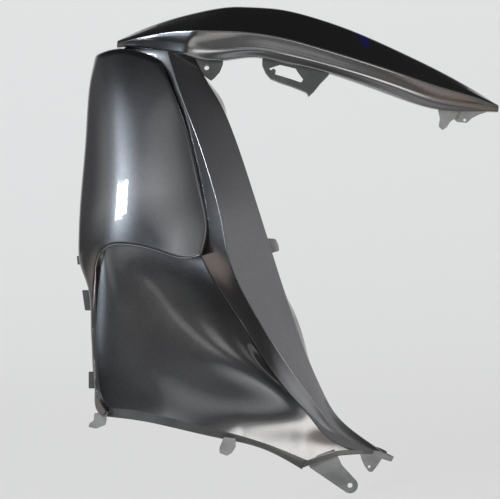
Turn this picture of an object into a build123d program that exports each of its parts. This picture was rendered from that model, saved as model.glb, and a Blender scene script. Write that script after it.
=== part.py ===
from build123d import *
import os
from math import hypot

# Left side panel of a scooter: one injection moulding, open at the back.
# X runs to the rear of the scooter, Z up, and the outer face looks along -Y.
# The origin is the centre of the screw hole in the lower tab, on its outer face.

# Driving dimensions
WALL = 2.5
RETURN_DEPTH = 16.0
DEEP = 70.0
RIM_RADIUS = 2.0

FLANGE_STEP = 4.0
LIP_STEP = 3.0
TAB_WALL = 3.0
TAB_END_RADIUS = 11.0
EAR_BOSS_RADIUS = 6.5
EAR_BOSS_LENGTH = 15
EAR_FRONT = -54.5
EAR_HOLE = (-197, 572)
HOOK_WALL = 4
BRACKET_FRONT = -51
BRACKET_DEPTH = 15
STUD_RADIUS = 3.2

# Screw and pin holes: centre (x, z), radius, depth of the first face and length.
SCREW_RADIUS = 3.5
PIN_RADIUS = 2.0
HOLES = [
    ((0, 0), SCREW_RADIUS, 0, TAB_WALL),
    (EAR_HOLE, SCREW_RADIUS, EAR_FRONT, EAR_BOSS_LENGTH),
    ((158, 505.5), PIN_RADIUS, -6, WALL),
    ((26.5, 26), PIN_RADIUS, -1, WALL),
]

# Feature lines of the spine, from the neck down to the lower tip: (z, x, y).
RIDGE = [
    (611, -253, -60), (539, -233, -74), (479, -210, -82), (415, -189, -87),
    (355, -174, -90), (310, -166, -90), (273, -150, -86), (222, -121, -78),
    (171, -88, -66), (135, -62, -54), (98, -35, -40), (66, -6, -26), (45, 41, -10),
]
EDGE = [
    (609, -222, -52), (569, -206, -58), (526, -180, -62), (480, -159, -63.5),
    (420, -138.5, -64), (310, -104, -60), (225, -77, -50), (170, -56, -39),
    (131, -38, -29), (85, -7, -18), (60, 27, -9), (38, 59, -2),
]
FOLD = [
    (608, -290, -40), (596, -318, -40), (585, -300, -42), (566, -272, -46),
    (547, -262, -52), (512, -246, -56), (471, -236, -60), (420, -226, -62),
    (366, -218, -64), (318, -204, -66), (268, -177, -66), (216, -144, -60),
    (166, -112, -52), (128, -83, -42), (96, -55, -33), (61, -22, -18), (36, 28, -2),
]
FLARE = [
    (609, -0.5, 14), (590, 0, 14), (575, 1, 20), (560, 2, 24), (530, 6, 24), (505, 0.5, 24), (265, 0.5, 24),
    (245, 4, 24), (190, 3, 24), (170, 0.5, 24), (36, 0, 20),
]
SPINE_LEVELS = [608, 596, 582, 562, 530, 480, 420, 360, 310, 270, 222, 171, 130, 95, 65, 42, 33]

# Arm and tail: top outline, ridge, cove and lower lip at the same stations: (x, y, z).
ARM_TOP = [
    (-195, -50, 651), (-176, -52, 654), (-138, -52, 655), (-98, -50, 652), (-57, -47, 643),
    (-3, -40, 626), (66, -28, 598), (122, -16, 573), (172, -6, 547), (205, 1, 527),
]
ARM_RIDGE = [
    (-210, -82, 616), (-189, -84, 617), (-138, -84, 614), (-98, -82, 608), (-58, -77, 598),
    (-4, -68, 583), (65, -52, 563), (121, -34, 547), (171, -18, 535), (205, -5, 524),
]
ARM_COVE = [
    (-222, -74, 596), (-199, -70, 593), (-138, -68, 595), (-98, -66, 590), (-58, -61, 581),
    (-4, -54, 567), (65, -40, 546), (121, -25, 528), (171, -12, 523), (205, -3, 520.5),
]
ARM_LIP = [
    (-227, -71, 588), (-201, -68, 580), (-138, -69, 584), (-98, -67, 578), (-58, -63, 570),
    (-4, -56, 555), (65, -41, 532), (121, -25, 518), (171, -11, 517), (205, -1, 517),
]
TAIL_TOP = [(-195, -50, 651), (-229, -50, 643), (-267, -46, 632), (-298, -42, 620), (-318, -38, 611)]
TAIL_RIDGE = [(-210, -82, 616), (-242, -74, 618), (-275, -64, 614), (-302, -54, 610), (-319, -43, 607)]
TAIL_LIP = [(-227, -71, 588), (-255, -62, 593), (-282, -56, 598), (-304, -50, 601), (-319, -41, 601)]

# Cheek: lines down the pillow, (z, x, y).
CHEEK_LEFT = [
    (618, -368, -26), (558, -368, -28), (490, -373, -28), (415, -377, -28), (350, -383, -28),
    (300, -380, -29), (217, -374, -22), (87, -368, -14),
]
CHEEK_BREAK = [
    (618, -339, -44), (555, -338, -56), (487, -340, -60), (413, -342, -62), (330, -345, -61),
    (292, -345, -56), (258, -345, -51), (218, -345, -48), (160, -344, -43), (110, -338, -34), (87, -336, -30),
]
CHEEK_CROWN = [
    (618, -300, -54), (555, -292, -70), (487, -285, -79), (413, -278, -84), (350, -278, -83),
    (300, -278, -79), (87, -279, -64),
]
CHEEK_SIDE = [
    (618, -260, -58), (555, -252, -73), (487, -238, -80), (413, -225, -84), (350, -218, -85),
    (300, -218, -90), (87, -218, -76),
]
CHEEK_RIGHT = [
    (618, -212, -58), (555, -199, -68), (487, -185, -72), (413, -172, -76), (350, -165, -80),
    (300, -165, -92), (87, -165, -80),
]
CHEEK_LEVELS = [610, 560, 510, 450, 395, 345, 305, 250, 170, 95]
CHEEK_BACK = -14.0

# Scoop: edge under the strip, floor, valley line, (z, x, y).
SCOOP_EDGE = [
    (360, -348, -44), (300, -348, -44), (258, -348, -42), (204, -348, -39),
    (157, -346, -34), (110, -336, -27), (60, -330, -25), (0, -330, -25),
]
SCOOP_START = [
    (360, -338, -50), (310, -338, -49), (258, -336, -46), (204, -336, -42),
    (157, -334, -37), (110, -322, -30), (60, -315, -30), (0, -310, -30),
]
SCOOP_FLOOR = [
    (360, -331, -50), (310, -325, -48.5), (275, -308, -46), (218, -280, -39), (168, -250, -35),
    (132, -230, -36), (101, -210, -38), (60, -190, -41), (0, -160, -44),
]
VALLEY = [
    (360, -322, -49), (322, -316, -48), (296, -300, -46), (275, -276, -42), (246, -252, -37),
    (218, -225, -32), (194, -192, -28), (168, -152, -25), (151, -126, -26), (132, -100, -29),
    (101, -62, -31), (60, 0, -14), (0, 60, 0),
]
SCOOP_TOP = [
    (360, -205, -54), (318, -199, -58), (290, -186, -60), (268, -173, -61), (216, -140, -55),
    (166, -108, -47), (128, -79, -37), (96, -48, -28), (61, 10, -10), (36, 50, 0), (0, 90, 6),
]
SCOOP_LEVELS = [350, 330, 312, 295, 275, 250, 218, 190, 165, 145, 125, 100, 70, 40, 10]
SCOOP_BACK = 9.0

# Outlines seen from the outer side, (x, z).
OUTLINE_LEFT = [
    (-340, 98), (-348, 106), (-351, 130), (-355, 220), (-360, 280), (-370, 307),
    (-372, 335), (-369, 400), (-362, 480), (-356, 555), (-350, 585),
]
CHEEK_CORNER = [(-350, 585), (-348, 590), (-343, 593)]
CHEEK_TOP = [(-343, 593), (-325, 597.5), (-293, 595), (-259, 581)]
CHEEK_REAR = [(-259, 581), (-240, 536), (-218, 470), (-202, 400), (-195, 350), (-203, 318)]
CHEEK_LOW = [(-203, 318), (-218, 314), (-258, 322), (-304, 332), (-329, 329), (-340, 318), (-345, 302)]
STRIP = [(-345, 302), (-347, 204), (-344, 145), (-339, 123), (-330, 110)]
STRIP_END = [(-330, 110), (-334, 100), (-340, 98)]
SKIN_LOW = [(-330, 109), (-302, 108), (-274, 103), (-220, 90), (-166, 76), (-111, 58), (-60, 36)]
LIP_LOW = [(-60, 36), (-42, 42), (-22, 48), (-1, 50), (41, 48), (51, 43)]
FLANGE_LOW = [(-339, 98), (-288, 93), (-234, 82), (-179, 69), (-125, 55), (-67, 24)]
LIP_EDGE = [(-67, 26), (-42, 35), (-22, 41), (-1, 43), (41, 41), (52, 37)]
SPINE_MIDDLE = [(52, 44), (20, 62), (-20, 88), (-48, 124), (-85, 190), (-118, 240), (-160, 300), (-185, 350)]


def at(rail, t):
    """Point of a feature line at t, by cubic interpolation between its points."""
    line = sorted(rail)
    n = len(line)
    t = min(max(t, line[0][0]), line[-1][0])
    i = max(0, min(n - 2, sum(1 for p in line if p[0] <= t) - 1))
    a, b = line[i], line[i + 1]
    step = b[0] - a[0]
    u = (t - a[0]) / step
    out = []
    for k in (1, 2):
        before = line[i - 1] if i else a
        after = line[i + 2] if i + 2 < n else b
        ma = (b[k] - before[k]) / (b[0] - before[0])
        mb = (after[k] - a[k]) / (after[0] - a[0])
        out.append(
            (2 * u**3 - 3 * u**2 + 1) * a[k]
            + (u**3 - 2 * u**2 + u) * step * ma
            + (3 * u**2 - 2 * u**3) * b[k]
            + (u**3 - u**2) * step * mb
        )
    return tuple(out)


def inset(points, wall):
    """The open profile moved into the part by the wall, with mitred corners."""
    moved = []
    for (x0, y0), (x1, y1) in zip(points, points[1:]):
        length = hypot(x1 - x0, y1 - y0)
        nx, ny = -(y1 - y0) / length * wall, (x1 - x0) / length * wall
        moved.append(((x0 + nx, y0 + ny), (x1 + nx, y1 + ny)))
    out = [moved[0][0]]
    for (a, b), (c, d) in zip(moved, moved[1:]):
        r, s = (b[0] - a[0], b[1] - a[1]), (d[0] - c[0], d[1] - c[1])
        cross = r[0] * s[1] - r[1] * s[0]
        if abs(cross) < 1e-6 * hypot(*r) * hypot(*s):
            out.append(b)
            continue
        t = ((c[0] - a[0]) * s[1] - (c[1] - a[1]) * s[0]) / cross
        out.append((a[0] + r[0] * t, a[1] + r[1] * t))
    out.append(moved[-1][1])
    return out


def to_depth(a, b, y):
    """The point where the line from a through b reaches the depth y."""
    t = (y - a[1]) / (b[1] - a[1])
    return (a[0] + (b[0] - a[0]) * t, y)


def hollow(stations, frames):
    """Outer and inner lofts through open profiles given in the plane of each frame."""
    outer, inner = [], []
    for profile, frame in zip(stations, frames):
        outer.append(Wire.make_polygon([frame(p) for p in profile], close=True))
        core = inset(profile, WALL)
        core[0] = to_depth(core[1], core[0], DEEP)
        core[-1] = to_depth(core[-2], core[-1], DEEP)
        inner.append(Wire.make_polygon([frame(p) for p in core], close=True))
    return Solid.make_loft(outer), Solid.make_loft(inner)


def spine():
    stations, frames = [], []
    for z in SPINE_LEVELS:
        fold, ridge, edge = at(FOLD, z), at(RIDGE, z), at(EDGE, z)
        flare, drop = at(FLARE, z)
        wall = (fold[0] - drop / 6, fold[1] + drop)
        back = (edge[0] + flare, edge[1] + RETURN_DEPTH)
        stations.append([wall, fold, ridge, edge, back])
        frames.append(lambda p, z=z: Vector(p[0], p[1], z))
    outer, inner = hollow(stations, frames)
    return outer & above_lip(0.0), inner & above_lip(WALL)


def moved_line(line, dx, dz):
    return [(x + dx, z + dz) for x, z in line]


def above_lip(shift):
    """Block over the lower lip line, moved up by the shift."""
    lip = [(x, z + shift) for x, z in LIP_LOW]
    first, last = lip[0], lip[-1]
    far = [(-120, 20), (-400, 20), (-400, 700), (120, 700), (120, 36 + shift), (62, 37 + shift)]
    corners = [last] + far[::-1] + [first]
    return prism([lip] + [[a, b] for a, b in zip(corners, corners[1:])])


def tilted(points):
    """Profile of a station and the frame of the upright plane through its two ends."""
    (x0, _, z0), (x1, _, z1) = points[0], points[-1]
    length = hypot(x1 - x0, z1 - z0)
    ux, uz = (x1 - x0) / length, (z1 - z0) / length
    flat = [((x - x0) * ux + (z - z0) * uz, y) for x, y, z in points]
    return flat, lambda p: Vector(x0 + ux * p[0], p[1], z0 + uz * p[0])


def beam(*lines):
    stations, frames = [], []
    for points in zip(*lines):
        flat, frame = tilted(points)
        top, low = flat[0], flat[-1]
        flat = [(top[0] + 0.5, top[1] + RETURN_DEPTH)] + flat + [(low[0] - 0.5, low[1] + RETURN_DEPTH)]
        stations.append(flat)
        frames.append(frame)
    return hollow(stations, frames)


def arm():
    return beam(ARM_TOP, ARM_RIDGE, ARM_COVE, ARM_LIP)


def tail():
    return beam(TAIL_TOP, TAIL_RIDGE, TAIL_LIP)


def behind(rows, levels, back, follow=0.0, wall=0.0):
    """Solid behind a crowned sheet: each level is a smooth curve closed by straight lines."""
    wires = []
    for z in levels:
        points = [at(rail, z) for rail in rows] if not callable(rows) else rows(z)
        if wall:
            points = inset(points, wall)
        vs = [Vector(x, y, z) for x, y in points]
        a, b = vs[0], vs[-1]
        low_a = Vector(a.X, a.Y + follow if follow else back, z)
        low_b = Vector(b.X, b.Y + follow if follow else back, z)
        if follow:
            low = [Vector(v.X, v.Y + follow, z) for v in vs]
            floor = Edge.make_spline(low[::-1])
        else:
            floor = Edge.make_line(low_b, low_a)
        wires.append(Wire([Edge.make_spline(vs), Edge.make_line(b, low_b), floor, Edge.make_line(low_a, a)]))
    return Solid.make_loft(wires)


def redrawn(edge):
    """The same edge as a line or as one smooth curve through points along it."""
    steps = max(2, round(edge.length / 12))
    ends = [edge.position_at(0), edge.position_at(1)]
    if edge.geom_type == GeomType.LINE or edge.length < 3:
        return Edge.make_line(*ends)
    points = [edge.position_at(i / steps) for i in range(steps + 1)]
    return Edge.make_spline(points, tangents=[edge.tangent_at(0), edge.tangent_at(1)])


def prism(runs, shrink=0.0, y0=-150.0, y1=150.0):
    """Upright block inside an outline in the XZ plane, between two depths."""
    edges = []
    for run in runs:
        pts = [Vector(x, 0, z) for x, z in run]
        edges.append(Edge.make_spline(pts) if len(pts) > 2 else Edge.make_line(*pts))
    wire = Wire(edges)
    if shrink:
        wire = Wire([redrawn(edge) for edge in wire.offset_2d(-shrink).edges()])
    return Solid.extrude(Face(wire), Vector(0, y1 - y0, 0)).moved(Location((0, y0, 0)))


def split_outline(line, low, high):
    """The stretch of the left outline between two heights."""
    return [p for p in line if low <= p[1] <= high]


def cheek():
    rows = [CHEEK_LEFT, CHEEK_BREAK, CHEEK_CROWN, CHEEK_SIDE, CHEEK_RIGHT]
    around = prism([OUTLINE_LEFT, CHEEK_CORNER, CHEEK_TOP, CHEEK_REAR, CHEEK_LOW, STRIP, STRIP_END])
    left = split_outline(OUTLINE_LEFT, 300, 600)
    close = [CHEEK_LOW[-2], left[0]]
    inside = prism([left, CHEEK_CORNER, CHEEK_TOP, CHEEK_REAR, CHEEK_LOW[:-1], close], WALL)
    outer = behind(rows, CHEEK_LEVELS, CHEEK_BACK) & around
    rear_rim = outer.faces().sort_by(Axis.Y)[0].edges().sort_by(Axis.X)[-1]
    outer = outer.fillet(RIM_RADIUS, [rear_rim])
    inner = behind(rows, CHEEK_LEVELS, DEEP, wall=WALL) & inside
    return outer, inner


def scoop_row(z):
    a, b, c = at(SCOOP_EDGE, z), at(SCOOP_START, z), at(SCOOP_FLOOR, z)
    v, t = at(VALLEY, z), at(SCOOP_TOP, z)
    left = (-375, a[1] + 25)
    u1 = (v[0] + 0.45 * (t[0] - v[0]), v[1] + 0.15 * (t[1] - v[1]))
    u2 = (v[0] + 0.80 * (t[0] - v[0]), v[1] + 0.55 * (t[1] - v[1]))
    return [left, a, b, c, v, u1, u2, t]


def scoop():
    left = split_outline(OUTLINE_LEFT, 100, 330)
    start = [SKIN_LOW[0], left[0]]
    top = [[left[-1], (-368, 350)], [(-368, 350), SPINE_MIDDLE[-1]]]
    rear = [SPINE_MIDDLE[::-1], [SPINE_MIDDLE[0], LIP_LOW[-1]]]
    runs = [left] + top + rear + [LIP_LOW[::-1], SKIN_LOW[::-1], start]
    outer = behind(scoop_row, SCOOP_LEVELS, 0, follow=SCOOP_BACK) & prism(runs, 1.0)
    inner = behind(scoop_row, SCOOP_LEVELS, DEEP, wall=WALL) & prism(runs, WALL)
    return outer, inner


def shifted_scoop(z, shift):
    return [(x, y + shift) for x, y in scoop_row(z)]


def ledge(line, edge, shift):
    """Thin plate a step behind the skin, between a line on the skin and its own edge."""
    inner_line = [(x, z + 4) for x, z in line]
    around = prism([inner_line, [inner_line[-1], edge[-1]], edge[::-1], [edge[0], inner_line[0]]])
    sheet = behind(lambda z: shifted_scoop(z, shift), SCOOP_LEVELS, 0, follow=WALL)
    return sheet & around


def plate(points, y, thickness=WALL):
    """Flat plate with the outline seen from the outer side."""
    corners = points + [points[0]]
    return prism([[a, b] for a, b in zip(corners, corners[1:])], 0, y, y + thickness)


def bore(x, z, radius, y, depth):
    """Round hole along the depth, starting a little in front of y."""
    start = Plane(origin=(x, y - 1, z), z_dir=(0, 1, 0))
    return Solid.make_cylinder(radius, depth + 2, start)


def lower_tab():
    """Tapered ear with the main screw hole, its stiffening edge and the wall it hangs from."""
    root = LIP_LOW[:3]
    ear = plate([(-60, 37), (-56, 25), (-6.3, -9), (9.2, 6), (-11, 28), (-20, 47), (-40, 45)], 0, TAB_WALL)
    end = Solid.make_cylinder(TAB_END_RADIUS, TAB_WALL, Plane(origin=(0, 0, 0), z_dir=(0, 1, 0)))
    edge = plate([(-56, 25), (-6.3, -9), (-4.9, -6.9), (-54.6, 27.1)], 0, 7)
    wall = plate(root + moved_line(root, 0.5, TAB_WALL)[::-1], -14, 14 + TAB_WALL)
    return [ear, end, edge, wall]


def tip_tabs():
    hanging = [(13, 46), (16, 36), (20, 27), (26, 19), (31, 19), (38, 28), (46, 40), (44, 50)]
    tongue = [(30, 54), (61, 40), (57, 33), (44, 37)]
    return [plate(hanging, -1), plate(tongue, -1)]


def lower_hooks():
    corner = [
        (-352, 102), (-353, 92), (-359, 88), (-360, 83), (-349, 81), (-337, 86), (-335, 94), (-338, 103),
    ]
    middle = [(-180, 50), (-180, 57), (-174, 72), (-158, 70), (-158, 58), (-163, 50), (-170, 46)]
    return [plate(corner, -19, HOOK_WALL), plate(middle, -36, HOOK_WALL)]


def front_tabs():
    upper = plate([(-369, 271), (-352, 271), (-352, 243), (-365, 243)], -18, TAB_WALL)
    lower = plate([(-360, 159), (-350, 159), (-350, 136), (-360, 136)], -18, TAB_WALL)
    knob = plate([(-376, 318), (-366, 318), (-366, 306), (-375, 306)], -20, TAB_WALL)
    return [upper, lower, knob]


def corner_ear():
    """Screw boss in the inner corner between arm and spine."""
    ear = [
        (-214, 590), (-174, 587), (-175, 576), (-179, 566), (-186, 558), (-191, 554), (-198, 559), (-207, 568),
    ]
    x, z = EAR_HOLE
    start = Plane(origin=(x, EAR_FRONT, z), z_dir=(0, 1, 0))
    return [plate(ear, -54), Solid.make_cylinder(EAR_BOSS_RADIUS, EAR_BOSS_LENGTH, start)]


def arm_bracket():
    """Open pocket under the arm: front web with a slanting window, shelf and stud."""
    low = [
        (-122, 576), (-117, 565), (-111, 558), (-98, 552.5), (-84, 548), (-71, 543), (-62, 539), (-58.5, 533.5),
    ]
    rear = [(-53, 539), (-43.5, 551), (-35.5, 559), (-31, 564)]
    window = [
        (-113, 571), (-104, 563), (-84, 557), (-69.5, 552), (-66.5, 556), (-74, 566), (-77, 571), (-98, 576),
    ]
    front = plate([(-122, 584)] + low + rear + [(-58, 571.5), (-98, 580.5)], BRACKET_FRONT)
    shelf = plate(low + moved_line(low, 1.2, 2.4)[::-1], BRACKET_FRONT, BRACKET_DEPTH)
    side = plate(rear + moved_line(rear, -2, 1.6)[::-1], BRACKET_FRONT, BRACKET_DEPTH)
    stud = Solid.make_cylinder(STUD_RADIUS, 8, Plane(origin=(-107, -54, 567), z_dir=(0, 1, 0)))
    return [front - plate(window, -60, 30), shelf, side, stud]


def arm_tip_tabs():
    first = [
        (119, 524), (123, 508), (121.5, 496), (126.5, 491), (132.5, 495), (137, 502.5), (145, 508), (150, 522),
    ]
    second = [
        (148, 521), (141, 510), (147, 503), (161, 501.5), (168, 508), (178, 513), (190, 517), (185, 521),
    ]
    return [plate(first, -12), plate(second, -6)]


def rear_clip():
    return [plate([(-116, 342), (-104, 341), (-100, 333), (-99, 325), (-109, 322)], -50, HOOK_WALL)]


def build_panel():
    volumes = [cheek(), spine(), scoop(), tail(), arm()]
    body = volumes[0][0]
    for outer, _ in volumes[1:]:
        body = body + outer
    for _, inner in volumes:
        body = body - inner
    added = [ledge(SKIN_LOW, FLANGE_LOW, FLANGE_STEP), ledge(LIP_LOW, LIP_EDGE, LIP_STEP)]
    low_groups = (lower_tab, tip_tabs, lower_hooks, front_tabs)
    high_groups = (corner_ear, arm_bracket, arm_tip_tabs, rear_clip)
    for group in low_groups + high_groups:
        added += group()
    body = body + added
    return body - [bore(x, z, radius, y, depth) for (x, z), radius, y, depth in HOLES]


if __name__ == "__main__":
    os.makedirs("parts", exist_ok=True)
    export_step(build_panel(), "parts/panel.step")
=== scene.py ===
import math

import bmesh
import bpy
import numpy as np
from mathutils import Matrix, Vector
from mathutils.geometry import delaunay_2d_cdt


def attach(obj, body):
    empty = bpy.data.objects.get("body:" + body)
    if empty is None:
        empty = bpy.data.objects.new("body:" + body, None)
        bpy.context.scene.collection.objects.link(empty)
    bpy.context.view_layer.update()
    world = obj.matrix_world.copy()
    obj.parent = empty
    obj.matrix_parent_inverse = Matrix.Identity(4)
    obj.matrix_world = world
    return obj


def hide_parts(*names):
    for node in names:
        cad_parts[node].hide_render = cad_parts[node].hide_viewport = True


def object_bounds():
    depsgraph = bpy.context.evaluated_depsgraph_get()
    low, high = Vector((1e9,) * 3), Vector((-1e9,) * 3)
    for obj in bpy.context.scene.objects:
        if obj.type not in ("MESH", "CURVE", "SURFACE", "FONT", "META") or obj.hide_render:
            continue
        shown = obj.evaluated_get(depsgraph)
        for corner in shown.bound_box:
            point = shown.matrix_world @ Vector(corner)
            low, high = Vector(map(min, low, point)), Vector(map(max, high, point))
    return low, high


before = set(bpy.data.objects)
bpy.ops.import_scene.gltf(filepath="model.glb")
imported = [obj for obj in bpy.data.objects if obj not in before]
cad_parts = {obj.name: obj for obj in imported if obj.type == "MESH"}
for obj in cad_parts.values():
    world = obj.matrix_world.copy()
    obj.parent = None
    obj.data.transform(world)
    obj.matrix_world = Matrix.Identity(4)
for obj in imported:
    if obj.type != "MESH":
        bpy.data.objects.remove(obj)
cad_box = [list(corner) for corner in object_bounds()]

# The panel's frame in millimetres: X to the rear of the scooter, Z up, the painted side looks along -Y.
MM = 0.001

# Driving dimensions
WALL = 2.5
RETURN_DEPTH = 16.0
DEEP = 70.0
FLANGE_STEP = 4.0
LIP_STEP = 3.0
TAB_WALL = 3.0
HOOK_WALL = 4.0
TAB_END_RADIUS = 11.0
SCREW_RADIUS = 3.5
PIN_RADIUS = 2.0
EAR_BOSS_RADIUS = 6.5
EAR_BOSS_LENGTH = 15.0
EAR_FRONT = -54.5
EAR_HOLE = (-197, 572)
BRACKET_FRONT = -51.0
BRACKET_DEPTH = 15.0
STUD_RADIUS = 3.2

# Rounds of the rims, ridges and corners
CHEEK_RIM = 4.0
CHEEK_TOP_EXTRA = 4.0
CHEEK_TOP_FROM, CHEEK_TOP_FADE = 555.0, 25.0
STRIP_ROLL = 6.0
STRIP_TOP, STRIP_FADE = 295.0, 70.0
RIDGE_ROUND = 3.0
SPINE_ROUND = 1.6
BEAM_TOP_ROUND = 6.0
COVE_ROUND = 5.0
FOLD_ROUND = 3.0
EDGE_ROUND = 2.5
LIP_ROUND = 3.0

# Turn of the scoop's lower edge: how wide, how far back, and its share along x
SKIRT_WIDTH = 62.0
SKIRT_DROP = 6.5
SKIRT_SHARES = [(-250, 0.0), (-150, 1.0), (-80, 1.0), (-20, 0.3)]

# Mesh spacing of the skins and of their hidden cores
GRID = 3.5
CORE_GRID = 8.0

# Feature lines of the spine, from the neck down to the lower tip: (z, x, y).
RIDGE = [
    (611, -253, -60), (539, -233, -74), (479, -210, -82), (415, -189, -87),
    (355, -174, -90), (310, -166, -90), (273, -150, -86), (222, -121, -78),
    (171, -88, -66), (135, -62, -54), (98, -35, -40), (66, -6, -26), (45, 41, -10), (33, 66, -4),
]
EDGE = [
    (609, -222, -52), (569, -206, -58), (526, -180, -62), (480, -159, -63.5),
    (420, -138.5, -64), (310, -104, -60), (225, -77, -50), (170, -56, -39),
    (131, -38, -29), (85, -7, -18), (60, 27, -9), (38, 59, -2), (33, 68, -1),
]
FOLD = [
    (608, -290, -40), (596, -318, -40), (585, -300, -42), (566, -272, -46),
    (547, -262, -52), (512, -246, -56), (471, -236, -60), (420, -226, -62),
    (366, -218, -64), (318, -204, -66), (268, -177, -66), (216, -144, -60),
    (166, -112, -52), (128, -83, -42), (96, -55, -33), (61, -22, -18), (36, 28, -2), (33, 34, -1),
]
# Spine's returns: how far the rear one flares out and how deep the front one is, (z, flare, depth).
FLARE = [
    (609, -0.5, 14), (590, 0, 14), (575, 1, 20), (560, 2, 24), (530, 6, 24), (505, 0.5, 24), (265, 0.5, 24),
    (245, 4, 24), (190, 3, 24), (170, 0.5, 24), (36, 0, 20), (33, 0, 20),
]
SPINE_TOP, SPINE_FOOT = 608.0, 33.0

# Tail and arm, from the tail's tip to the arm's: top outline, ridge, cove and lower lip, (x, y, z).
BEAM_TOP = [
    (-318, -38, 611), (-298, -42, 620), (-267, -46, 632), (-229, -50, 643),
    (-195, -50, 651), (-176, -52, 653.8), (-138, -52, 654.7), (-98, -50, 652), (-57, -47, 643),
    (-3, -40, 626), (66, -28, 598), (122, -16, 573), (172, -6, 547), (205, 1, 527),
]
BEAM_RIDGE = [
    (-319, -43, 607), (-302, -54, 610), (-275, -64, 614), (-242, -74, 618),
    (-210, -84, 617), (-189, -84, 617), (-138, -84, 614), (-98, -82, 608), (-58, -77, 598),
    (-4, -68, 583), (65, -52, 563), (121, -34, 547), (171, -18, 535), (205, -5, 524),
]
BEAM_COVE = [
    (-319, -42, 603), (-303, -51, 604), (-279, -59, 604), (-250, -66, 601),
    (-222, -74, 596), (-199, -70, 593), (-138, -68, 595), (-98, -66, 590), (-58, -61, 581),
    (-4, -54, 567), (65, -40, 546), (121, -25, 528), (171, -12, 523), (205, -3, 520.5),
]
BEAM_LIP = [
    (-319, -41, 601), (-304, -50, 601), (-282, -56, 598), (-255, -62, 593),
    (-227, -71, 588), (-201, -68, 580), (-138, -69, 584), (-98, -67, 578), (-58, -63, 570),
    (-4, -56, 555), (65, -41, 532), (121, -25, 518), (171, -11, 517), (205, -1, 517),
]
# Station at which tail and arm meet in a crease, its softness, and the width under which the tip is solid
BEAM_KNEE = 4
KNEE_SOFTNESS = 1.3
SOLID_TIP = 26.0

# Cheek: lines down the pillow, (z, x, y).
CHEEK_LEFT = [
    (618, -368, -26), (558, -368, -28), (490, -373, -28), (415, -377, -28), (350, -383, -28),
    (300, -380, -29), (217, -374, -22), (87, -368, -14),
]
CHEEK_BREAK = [
    (618, -339, -44), (555, -338, -56), (487, -340, -60), (413, -342, -62), (330, -345, -61),
    (292, -345, -56), (258, -345, -51), (218, -345, -48), (160, -344, -43), (110, -338, -34), (87, -336, -30),
]
CHEEK_CROWN = [
    (618, -300, -54), (555, -292, -70), (487, -285, -79), (413, -278, -84), (350, -278, -83),
    (300, -278, -79), (87, -279, -64),
]
CHEEK_SIDE = [
    (618, -260, -58), (555, -252, -73), (487, -238, -80), (413, -225, -84), (350, -218, -85),
    (300, -218, -90), (87, -218, -76),
]
CHEEK_RIGHT = [
    (618, -212, -58), (555, -199, -68), (487, -185, -72), (413, -172, -76), (350, -165, -80),
    (300, -165, -92), (87, -165, -80),
]
CHEEK_BACK = -14.0

# Scoop: edge under the strip, start of the floor, floor, valley line and top, (z, x, y).
SCOOP_EDGE = [
    (360, -348, -44), (300, -348, -44), (258, -348, -42), (204, -348, -39),
    (157, -346, -34), (110, -336, -27), (60, -330, -25), (0, -330, -25),
]
SCOOP_START = [
    (360, -338, -50), (310, -338, -49), (258, -336, -46), (204, -336, -42),
    (157, -334, -37), (110, -322, -30), (60, -315, -30), (0, -310, -30),
]
SCOOP_FLOOR = [
    (360, -331, -50), (310, -325, -48.5), (275, -308, -46), (218, -280, -39),
    (168, -250, -35), (132, -230, -36), (101, -210, -38), (60, -190, -41), (0, -160, -44),
]
VALLEY = [
    (360, -322, -49), (322, -316, -48), (296, -300, -46), (275, -276, -42), (246, -252, -37),
    (218, -225, -32), (194, -192, -28), (168, -152, -25), (151, -126, -26), (132, -100, -29),
    (101, -62, -31), (60, 0, -14), (0, 60, 0),
]
SCOOP_TOP = [
    (360, -205, -54), (318, -199, -58), (290, -186, -60), (268, -173, -61), (216, -140, -55),
    (166, -108, -47), (128, -79, -37), (96, -48, -28), (61, 10, -10), (36, 50, 0), (0, 90, 6),
]
SCOOP_BACK = 9.0

# Outlines seen from the outer side, (x, z).
OUTLINE_LEFT = [
    (-340, 98), (-348, 106), (-351, 130), (-355, 220), (-360, 280), (-370, 307),
    (-372, 335), (-369, 400), (-362, 480), (-356, 555), (-350, 585),
]
CHEEK_CORNER = [(-350, 585), (-348, 590), (-343, 593)]
CHEEK_TOP = [(-343, 593), (-325, 597.5), (-293, 595), (-259, 581)]
CHEEK_REAR = [(-259, 581), (-240, 536), (-218, 470), (-202, 400), (-195, 350), (-203, 318)]
CHEEK_LOW = [(-203, 318), (-218, 314), (-258, 322), (-304, 332), (-329, 329), (-340, 318), (-345, 302)]
STRIP = [(-345, 302), (-347, 204), (-344, 145), (-339, 123), (-330, 110)]
STRIP_END = [(-330, 110), (-334, 100), (-340, 98)]
SKIN_LOW = [(-330, 109), (-302, 108), (-274, 103), (-220, 90), (-166, 76), (-111, 58), (-60, 36)]
LIP_LOW = [(-60, 36), (-42, 42), (-22, 48), (-1, 50), (41, 48), (51, 43)]
FLANGE_LOW = [(-339, 98), (-288, 93), (-234, 82), (-179, 69), (-125, 55), (-67, 24)]
LIP_EDGE = [(-67, 26), (-42, 35), (-22, 41), (-1, 43), (41, 41), (52, 37)]
SPINE_MIDDLE = [(52, 44), (20, 62), (-20, 88), (-48, 124), (-85, 190), (-118, 240), (-160, 300), (-185, 350)]
SCOOP_CORNER = (-368, 350)

# Material slots, and the paint's colours
# The third slot is a darker copy of the bare plastic: painted shade for parts that sit in shadow, partly also
# dark overspray.
PAINT, BARE, SHADED_DARK = 0, 1, 2
PAINT_GREY = (0.072, 0.073, 0.076)
SMEAR_BLUE = (0.03, 0.03, 0.95)
SMEAR_PLACE = (0.0165, -0.045, 0.6085)
SMEAR_TURN = -0.95
SMEAR_SCALE = (72.0, 0.0, 190.0)

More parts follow.
